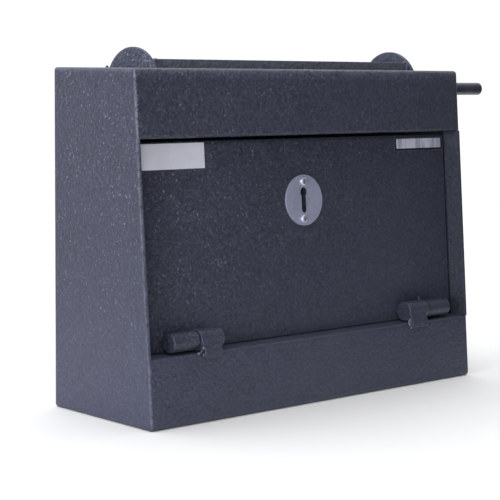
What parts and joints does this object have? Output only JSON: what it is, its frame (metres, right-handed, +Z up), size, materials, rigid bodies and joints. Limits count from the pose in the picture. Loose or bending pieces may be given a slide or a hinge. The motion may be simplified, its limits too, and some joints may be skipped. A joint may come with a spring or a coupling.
{
  "type": "drop safe",
  "caption": "Small steel drop safe with a sloped front, recessed bottom-hinged locking door and a rotating hopper drum in the top turned by a straight side handle.",
  "frame": {"origin": "centre of the base on the surface it stands on (middle of the bottom face, bounding outline of the body only)", "axes": "+X to the right seen from the front and along the handle rod, +Y to the back plate, +Z up; the door faces -Y"},
  "size_m": [0.4993, 0.1387, 0.3179],
  "materials": {
    "body_paint": "dark blue-grey textured powder coat with fine light speckle",
    "door_paint": "dark blue-grey textured powder coat, slightly darker",
    "drum_paint": "dark blue-grey textured powder coat, light scuffs",
    "rod_black": "smooth near-black semi-gloss",
    "bare_steel": "plain turned or zinc-plated steel",
    "satin_steel": "satin grey, finely brushed",
    "plate_silver": "matte silver, bare",
    "label_silver": "matte silver foil, bare",
    "label_black": "satin black film",
    "brass": "plain",
    "spring_steel": "blued spring steel"
  },
  "bodies": {
    "body": {"side_panel_left": "body_paint", "side_panel_right": "body_paint", "back_plate": "body_paint", "top_hood": "body_paint", "base_tray": "body_paint", "door_stop_left": "body_paint", "door_stop_right": "body_paint", "rear_baffle": "body_paint", "hinge_barrel_left": "body_paint", "hinge_barrel_right": "body_paint", "hinge_strap_left": "body_paint", "hinge_strap_right": "body_paint", "hinge_pin_left": "bare_steel", "hinge_pin_right": "bare_steel", "drum_bearing_left": "bare_steel", "handle_bush": "brass"},
    "drum": {"drum_disc_left": "drum_paint", "drum_disc_right": "drum_paint", "drum_trough": "drum_paint", "drum_axle_left": "bare_steel", "handle_rod": "rod_black", "thrust_washer": "bare_steel", "drum_collar": "bare_steel", "collar_set_screw": "bare_steel"},
    "door": {"door_panel": "door_paint", "hinge_knuckle_left": "door_paint", "hinge_knuckle_right": "door_paint", "keyhole_escutcheon": "satin_steel", "escutcheon_screws": "satin_steel", "name_plate_blank": "plate_silver", "label_backing": "label_black", "label_strip": "label_silver", "lock_case": "bare_steel", "lock_cap": "bare_steel", "lock_fixing_screws": "bare_steel", "lever_pivot": "bare_steel", "lock_levers": "brass", "lever_springs": "spring_steel"},
    "bolt": {"lock_bolt": "bare_steel"}
  },
  "joints": [
    {"name": "door_swing", "type": "hinge", "parent": "body", "child": "door", "pos_m": [0, -0.05428, 0.0695], "axis": [1, 0, 0], "range_deg": [0, 110]},
    {"name": "drum_turn", "type": "hinge", "parent": "body", "child": "drum", "pos_m": [0, 0.0085, 0.2816], "axis": [1, 0, 0], "continuous": true},
    {"name": "bolt_throw", "type": "slide", "parent": "door", "child": "bolt", "axis": [0, 0.083, 0.9965], "range_m": [0, 0.014]}
  ]
}
